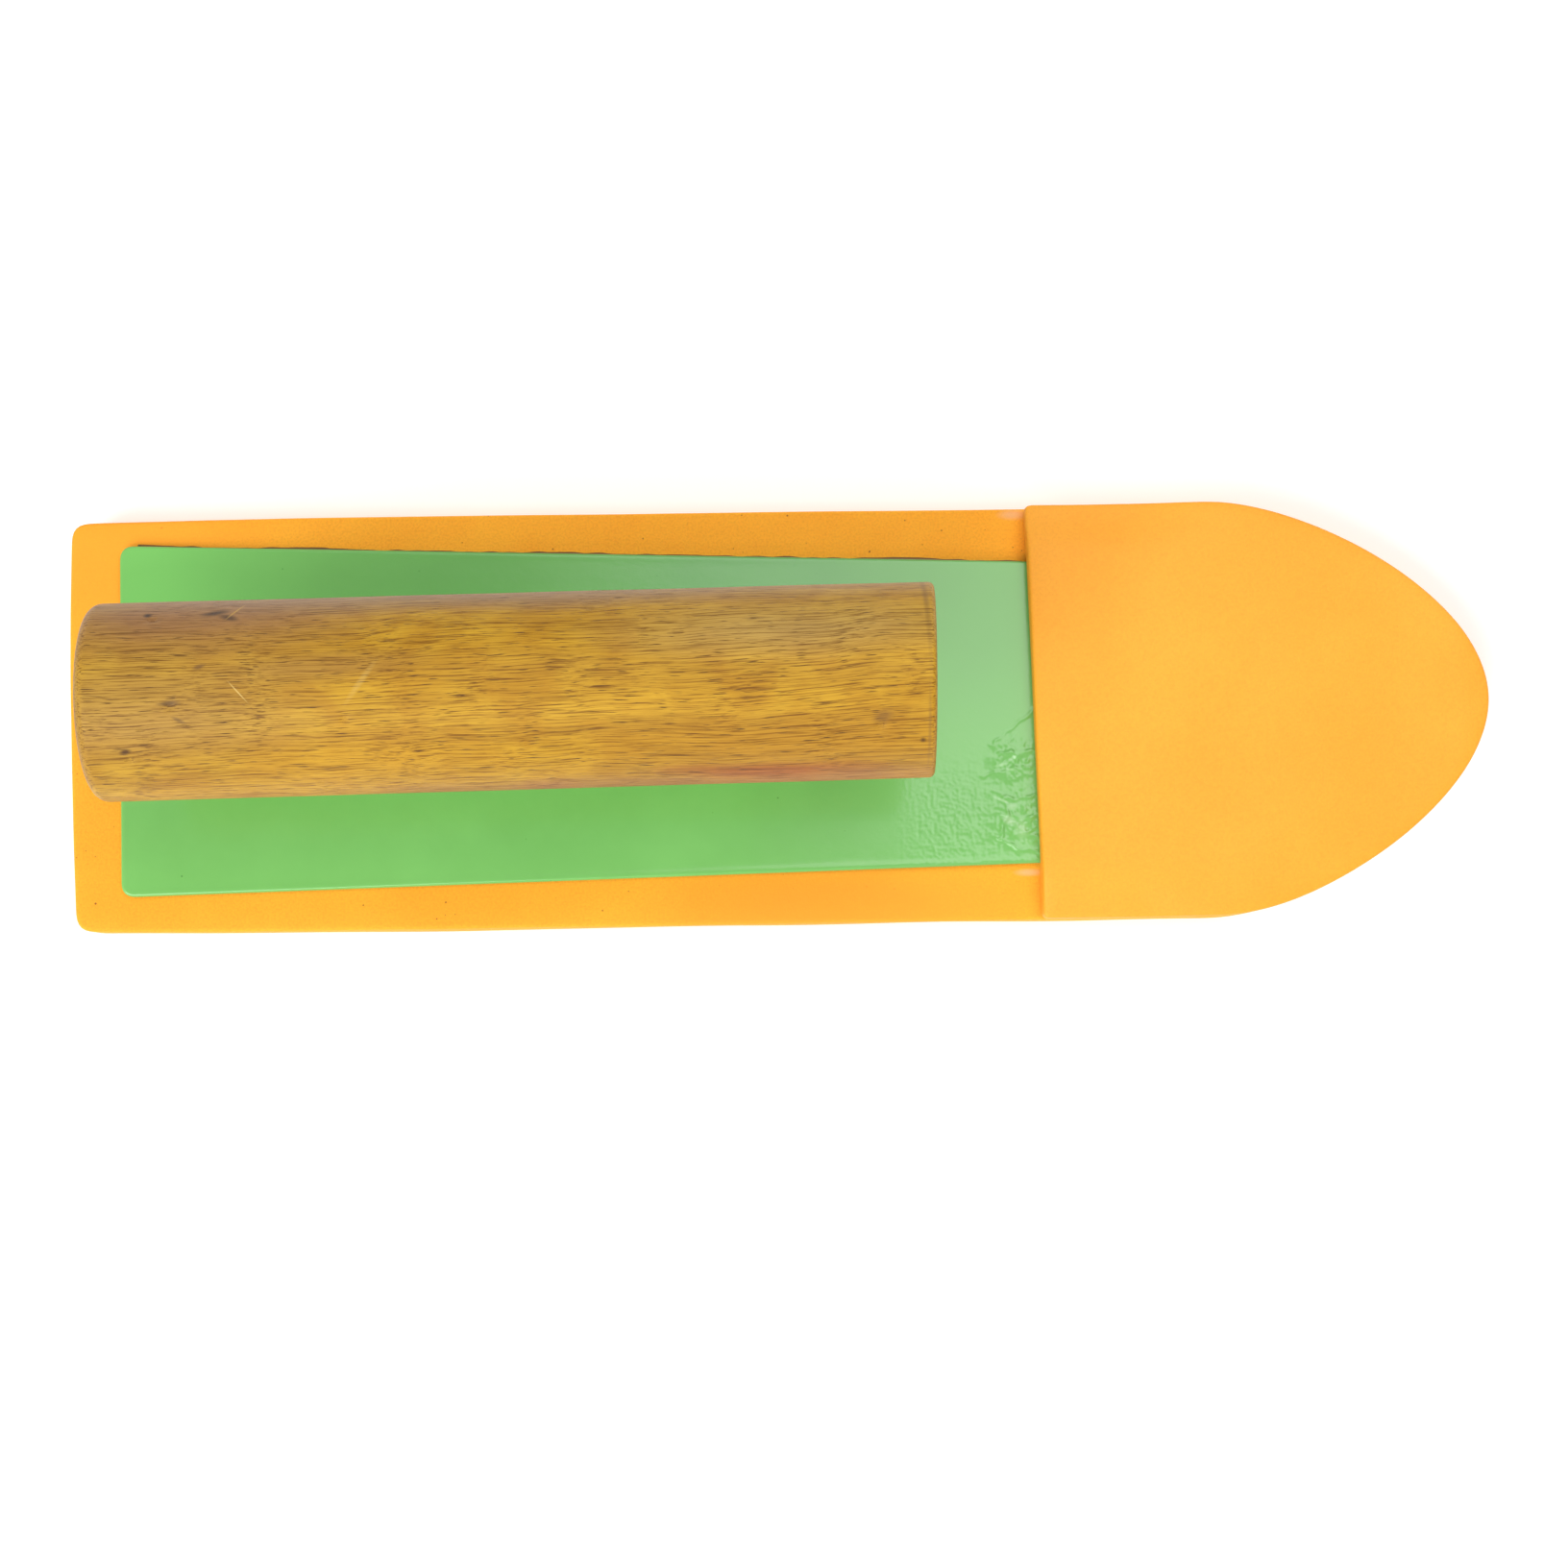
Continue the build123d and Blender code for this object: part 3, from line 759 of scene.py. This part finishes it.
def grip_points():
    """The stick's points, each ring from the top round, and then the middles of its two ends."""
    points = []
    rings = grip_rings()
    for x, radius in rings:
        for k in range(GRIP_STEPS_ROUND):
            turn = 2 * math.pi * k / GRIP_STEPS_ROUND
            lumps = noise.noise(Vector((x / (22 * MM), math.sin(turn), math.cos(turn))))
            r = radius + GRIP_WOBBLE * lumps - GRIP_WOBBLE
            for place, degrees, width, depth in DINGS:
                away = math.hypot(x - place, r * (turn - math.radians(degrees % 360))) / width
                if away < 1:
                    r -= depth * (1 - away * away)
            y, z = r * math.sin(turn), GRIP_AXIS + r * math.cos(turn)
            if abs(x) < SEAT_LENGTH / 2:
                z = max(z, seat_height)
            # The lean of the front cut fades out quickly behind it.
            off_square = FRONT_CUT_LEAN * (GRIP_AXIS + GRIP_FRONT_RADIUS - z) + FRONT_CUT_SKEW * y
            points.append((x + off_square * max(x / GRIP_HALF, 0) ** 8, y, z))
    lean = FRONT_CUT_LEAN * GRIP_FRONT_RADIUS
    points += [(rings[0][0], 0, GRIP_AXIS), (rings[-1][0] + lean, 0, GRIP_AXIS)]
    points = np.array(points)
    cos, sin = math.cos(GRIP_SKEW), math.sin(GRIP_SKEW)
    return np.column_stack([
        GRIP_MIDDLE[0] + points[:, 0] * cos - points[:, 1] * sin,
        GRIP_MIDDLE[1] + points[:, 0] * sin + points[:, 1] * cos,
        points[:, 2],
    ]), len(rings)


def grip_mesh(material):
    """The lathe-turned stick with its seat."""
    points, rings = grip_points()
    faces = tube_faces(rings, GRIP_STEPS_ROUND)
    rear, front = len(points) - 2, len(points) - 1
    last = (rings - 1) * GRIP_STEPS_ROUND
    for k in range(GRIP_STEPS_ROUND):
        after = (k + 1) % GRIP_STEPS_ROUND
        faces.append((rear, k, after))
        faces.append((front, last + after, last + k))
    return new_piece("wooden_grip_turned", points, faces, material)


PITH = (-21 * MM, -34 * MM)  # moves the middle of the growth rings to the grain's own middle
RING_SPACING = 1.7 * MM
WAVE_TURN = 20  # Blender's wave texture turns through this many radians in a unit
GRAIN_TURN = math.radians(1.8)  # the stick was sawn a little across the grain
GRIP_STAINS_AND_EDGE_SHADE = (  # the broad colours of the wood itself, as in brown heartwood, and painted shade along both long sides
    ((-106 * MM, 14 * MM, 66 * MM), (42 * MM, 10 * MM, 24 * MM), 2, "#986c48", 0.8),
    ((-84 * MM, 5 * MM, 72 * MM), (24 * MM, 3.5 * MM, 24 * MM), 4, "#a07636", 0.6),
    ((-112 * MM, -2 * MM, 72 * MM), (36 * MM, 14 * MM, 24 * MM), 0, "#a88440", 0.6),
    ((0 * MM, 10 * MM, 68 * MM), (44 * MM, 7 * MM, 16 * MM), 0, "#b09256", 0.8),
    ((0 * MM, -9 * MM, 70 * MM), (46 * MM, 6 * MM, 16 * MM), 1, "#b07f26", 0.8),
    ((-72 * MM, -11 * MM, 68 * MM), (30 * MM, 6 * MM, 16 * MM), 2, "#c4942c", 0.6),
    # These two long marks are painted shade where the stick rounds away from the light, and the pinkish grey
    # one on the +Y side is also a painted reflection.
    ((-50 * MM, 18.5 * MM, 58 * MM), (96 * MM, 5 * MM, 24 * MM), 1, "#957658", 0.75),
    ((-50 * MM, -18.5 * MM, 58 * MM), (96 * MM, 4 * MM, 24 * MM), 1, "#83593c", 0.9),
    ((6 * MM, -16.6 * MM, 62 * MM), (36 * MM, 4.2 * MM, 14 * MM), 1, "#a06c44", 0.95),
    ((-4 * MM, -13.4 * MM, 66 * MM), (24 * MM, 1.6 * MM, 12 * MM), 1, "#a0561e", 0.8),
    ((-45 * MM, -17.0 * MM, 60 * MM), (9 * MM, 3.0 * MM, 12 * MM), 6, "#9c6436", 0.7),
)
GRIP_MARKS = (  # the knots, pits and scratches, and dark lines on the front rim
    ((-101 * MM, 13.2 * MM, 66 * MM), (3.0 * MM, 0.7 * MM, 8 * MM), 10, "#46301c", 0.9),
    ((-98.4 * MM, 12.2 * MM, 67 * MM), (2.2 * MM, 0.8 * MM, 8 * MM), -14, "#4c3520", 0.85),
    ((-97.6 * MM, 13.4 * MM, 66 * MM), (2.8 * MM, 0.22 * MM, 8 * MM), 50, "#b98f42", 0.8),
    ((-112.8 * MM, 12.9 * MM, 66 * MM), (1.0 * MM, 0.6 * MM, 8 * MM), 0, "#33231a", 0.9),
    ((-115.9 * MM, -11.4 * MM, 70 * MM), (1.3 * MM, 0.6 * MM, 8 * MM), 8, "#4a2e16", 0.9),
    ((-107.8 * MM, -3.4 * MM, 73 * MM), (2.4 * MM, 0.6 * MM, 8 * MM), 4, "#5a4024", 0.8),
    ((-106.2 * MM, -6.3 * MM, 73 * MM), (1.6 * MM, 0.45 * MM, 8 * MM), -24, "#604628", 0.6),
    ((-102.6 * MM, 2.9 * MM, 73 * MM), (1.5 * MM, 0.6 * MM, 8 * MM), 20, "#6a4b2a", 0.7),
    ((-95.9 * MM, -1.6 * MM, 73 * MM), (3.0 * MM, 0.16 * MM, 8 * MM), -48, "#dcbc70", 0.65),
    ((-74.8 * MM, -0.2 * MM, 73 * MM), (5.4 * MM, 0.7 * MM, 8 * MM), 55, "#ccaa5c", 0.3),
    ((16 * MM, -7.3 * MM, 73 * MM), (2.4 * MM, 1.5 * MM, 8 * MM), 20, "#7b5626", 0.7),
    ((23.1 * MM, -11.2 * MM, 71 * MM), (0.7 * MM, 0.5 * MM, 8 * MM), 0, "#4a2f14", 0.85),
    ((grip_high[0] - 1.5 * MM, 10 * MM, 64 * MM), (0.7 * MM, 16 * MM, 14 * MM), 1, "#6a4a22", 0.5),
    ((grip_high[0] - 1.5 * MM, -9 * MM, 68 * MM), (0.4 * MM, 10 * MM, 14 * MM), 1, "#7d5a2c", 0.4),
)


def lacquered_wood():
    """Stained open-grain hardwood: golden brown, with short dark pore lines lengthwise under satin."""
    material, tree, shader = new_material(
        "hardwood_lacquered",
        Roughness=0.5,
        IOR=1.5,
        Specular_IOR_Level=0.2,
        Coat_Weight=0.04,
        Coat_Roughness=0.3,
    )
    at = add_node(tree, "TexCoord").outputs["Object"]
    warp = add_node(tree, "TexNoise", {"Vector": at, "Scale": 1 / (38 * MM), "Detail": 2.0})
    shifted = add_node(
        tree,
        "VectorMath",
        {0: warp.outputs["Color"], 1: (0.0, 4 * MM, 4 * MM)},
        operation="MULTIPLY",
    )
    wandering = add_node(
        tree, "VectorMath", {0: at, 1: shifted.outputs["Vector"]}, operation="ADD"
    ).outputs["Vector"]

    def lengthwise(long, across, detail, rough_share=0.5):
        """Noise drawn out along the grain, its lumps this long and this far across."""
        turned = add_node(
            tree,
            "Mapping",
            {
                "Vector": wandering,
                "Rotation": (0.0, 0.0, GRAIN_TURN),
                "Scale": (long, across, across),
            },
            vector_type="TEXTURE",
        )
        return add_node(
            tree,
            "TexNoise",
            {"Vector": turned.outputs["Vector"], "Scale": 1.0, "Detail": detail, "Roughness": rough_share},
        ).outputs["Fac"]

    bands = lengthwise(60 * MM, 5 * MM, 3.0)
    body = add_node(
        tree,
        "ValToRGB",
        {"Fac": bands},
        stops=[(0.3, "#b48722"), (0.48, "#bf9225"), (0.62, "#c69927"), (0.78, "#b88d26")],
    )
    figure = add_node(
        tree, "TexNoise", {"Vector": wandering, "Scale": 1 / (9 * MM), "Detail": 3.0, "Distortion": 0.6}
    )
    shimmer = add_node(
        tree, "ValToRGB", {"Fac": figure.outputs["Fac"]}, stops=[(0.35, "#ece0cc"), (0.6, "#ffffff")]
    )
    figured = add_node(
        tree,
        "Mix",
        {0: 0.8, 6: body.outputs["Color"], 7: shimmer.outputs["Color"]},
        data_type="RGBA",
        blend_type="MULTIPLY",
    )
    stained_and_edge_shaded = marked(tree, wandering, figured.outputs["Result"], GRIP_STAINS_AND_EDGE_SHADE)
    fibres = lengthwise(15 * MM, 0.25 * MM, 3.0, 0.65)
    fibre_tone = add_node(
        tree,
        "ValToRGB",
        {"Fac": fibres},
        stops=[(0.33, "#86642f"), (0.49, "#ece8e0"), (0.66, "#ffffff")],
    )
    fibred = add_node(
        tree,
        "Mix",
        {0: 0.85, 6: stained_and_edge_shaded, 7: fibre_tone.outputs["Color"]},
        data_type="RGBA",
        blend_type="MULTIPLY",
    )
    pores = lengthwise(4.0 * MM, 0.2 * MM, 1.0)
    pore_mask = add_node(
        tree, "MapRange", {"Value": pores, "From Min": 0.37, "From Max": 0.27}
    ).outputs["Result"]
    pored = add_node(
        tree,
        "Mix",
        {0: pore_mask, 6: fibred.outputs["Result"], 7: linear("#553712")},
        data_type="RGBA",
    )
    pith = add_node(tree, "Mapping", {"Vector": wandering, "Location": (0.0, *PITH)})
    growth = add_node(
        tree,
        "TexWave",
        {
            "Vector": pith.outputs["Vector"],
            "Scale": 2 * math.pi / (WAVE_TURN * RING_SPACING),
            "Distortion": 3.5,
            "Detail": 3.0,
        },
        wave_type="RINGS",
        rings_direction="X",
    )
    ring_tone = add_node(
        tree, "ValToRGB", {"Fac": growth.outputs["Fac"]}, stops=[(0.1, "#936d2e"), (0.9, "#a67e3b")]
    )
    # Pores that are cut across are drawn coarser than the wood's own, a fifth of a millimetre, to show.
    cut_pores = add_node(tree, "TexNoise", {"Vector": at, "Scale": 1 / (0.4 * MM), "Detail": 1.0})
    cut_tone = add_node(
        tree, "ValToRGB", {"Fac": cut_pores.outputs["Fac"]}, stops=[(0.3, "#c2a87e"), (0.44, "#ffffff")]
    )
    end_grain = add_node(
        tree,
        "Mix",
        {0: 1.0, 6: ring_tone.outputs["Color"], 7: cut_tone.outputs["Color"]},
        data_type="RGBA",
        blend_type="MULTIPLY",
    )
    normal = add_node(tree, "TexCoord").outputs["Normal"]
    faces_out = add_node(tree, "SeparateXYZ", {"Vector": normal})
    endwise = add_node(tree, "Math", {0: faces_out.outputs["X"]}, operation="ABSOLUTE")
    at_end = add_node(
        tree, "MapRange", {"Value": endwise.outputs["Value"], "From Min": 0.7, "From Max": 0.95}
    )
    ended = add_node(
        tree,
        "Mix",
        {0: at_end.outputs["Result"], 6: pored.outputs["Result"], 7: end_grain.outputs["Result"]},
        data_type="RGBA",
    )
    finished = marked(tree, at, ended.outputs["Result"], GRIP_MARKS)
    tree.links.new(finished, shader.inputs["Base Color"])
    relief = add_node(tree, "Math", {0: fibres, 1: pore_mask}, operation="SUBTRACT")
    bump = add_node(
        tree, "Bump", {"Strength": 0.4, "Distance": 0.1 * MM, "Height": relief.outputs["Value"]}
    )
    tree.links.new(bump.outputs["Normal"], shader.inputs["Normal"])
    tree.links.new(bump.outputs["Normal"], shader.inputs["Coat Normal"])
    return material


wooden_grip = grip_mesh(lacquered_wood())
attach(wooden_grip, "root")
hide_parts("wooden_grip")


# ---- Wood screws ----------------------------------------------------------------------------------
# Two pan-head wood screws go up through the strap into the grip. They are steel with a bright zinc
# plating, and only their heads show.
def zinc_plate():
    """Zinc plating: a cool grey metal, softly brushed, with a faint blotchy cast."""
    material, tree, shader = new_material("zinc_plated_steel", Metallic=1.0)
    at = add_node(tree, "TexCoord").outputs["Object"]
    blotch = add_node(tree, "TexNoise", {"Vector": at, "Scale": 1 / (1.8 * MM), "Detail": 4.0})
    body = add_node(
        tree, "ValToRGB", {"Fac": blotch.outputs["Fac"]}, stops=[(0.3, "#b4b3ab"), (0.7, "#d3d4d2")]
    )
    dull = add_node(
        tree, "MapRange", {"Value": blotch.outputs["Fac"], "To Min": 0.22, "To Max": 0.42}
    )
    tree.links.new(body.outputs["Color"], shader.inputs["Base Color"])
    tree.links.new(dull.outputs["Result"], shader.inputs["Roughness"])
    return material


zinc = zinc_plate()
for end in ("rear", "front"):
    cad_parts[f"screw_{end}"].data.materials[0] = zinc


# ---- Studio ---------------------------------------------------------------------------------------
# The float lies on a plain white table under soft light, and the camera looks almost straight down.
def studio_floor():
    """A plain matt white table, lit a little from below, as a packshot table is."""
    material, tree, shader = new_material("table_white_matt", Roughness=0.9, Emission_Strength=0.12)
    shader.inputs["Base Color"].default_value = linear("#fafafa")
    shader.inputs["Emission Color"].default_value = linear("#ffffff")
    bpy.ops.mesh.primitive_plane_add(size=16.0)
    floor = bpy.context.object
    floor.name = "table"
    floor.data.materials.append(material)


def soft_light(name, place, aim, size, power, turn=0.0):
    """A square soft box that faces a point, turned about its own axis."""
    data = bpy.data.lights.new(name, "AREA")
    data.shape, data.size, data.energy = "SQUARE", size, power
    light = bpy.data.objects.new(name, data)
    light.location = place
    facing = (Vector(aim) - Vector(place)).to_track_quat("-Z", "Y")
    light.rotation_euler = (facing @ Quaternion((0, 0, 1), math.radians(turn))).to_euler()
    bpy.context.collection.objects.link(light)


studio_floor()
soft_light("key_light", place=(-0.95, -1.15, 1.5), aim=(0, 0, 0), size=1.5, power=40.0)
soft_light("nose_light", place=(0.415, 0.576, 1.5), aim=(0.415, 0.576, 0), size=1.1, power=12.5, turn=46.9)

world = bpy.data.worlds.new("studio_air")
world.use_nodes = True
background = world.node_tree.nodes["Background"].inputs
background["Color"].default_value = linear("#ffffff")
background["Strength"].default_value = 0.53
bpy.context.scene.world = world
bpy.context.scene.view_settings.view_transform = "Standard"

CAMERA_PLACE = (-13.66 * MM, -58.12 * MM, 528.28 * MM)
CAMERA_TURN = [math.radians(angle) for angle in (4.94, -1.43, -1.0)]
camera_data = bpy.data.cameras.new("camera")
camera_data.lens = 60.44
camera = bpy.data.objects.new("camera", camera_data)
camera.location = CAMERA_PLACE
camera.rotation_euler = CAMERA_TURN
bpy.context.collection.objects.link(camera)
bpy.context.scene.camera = camera
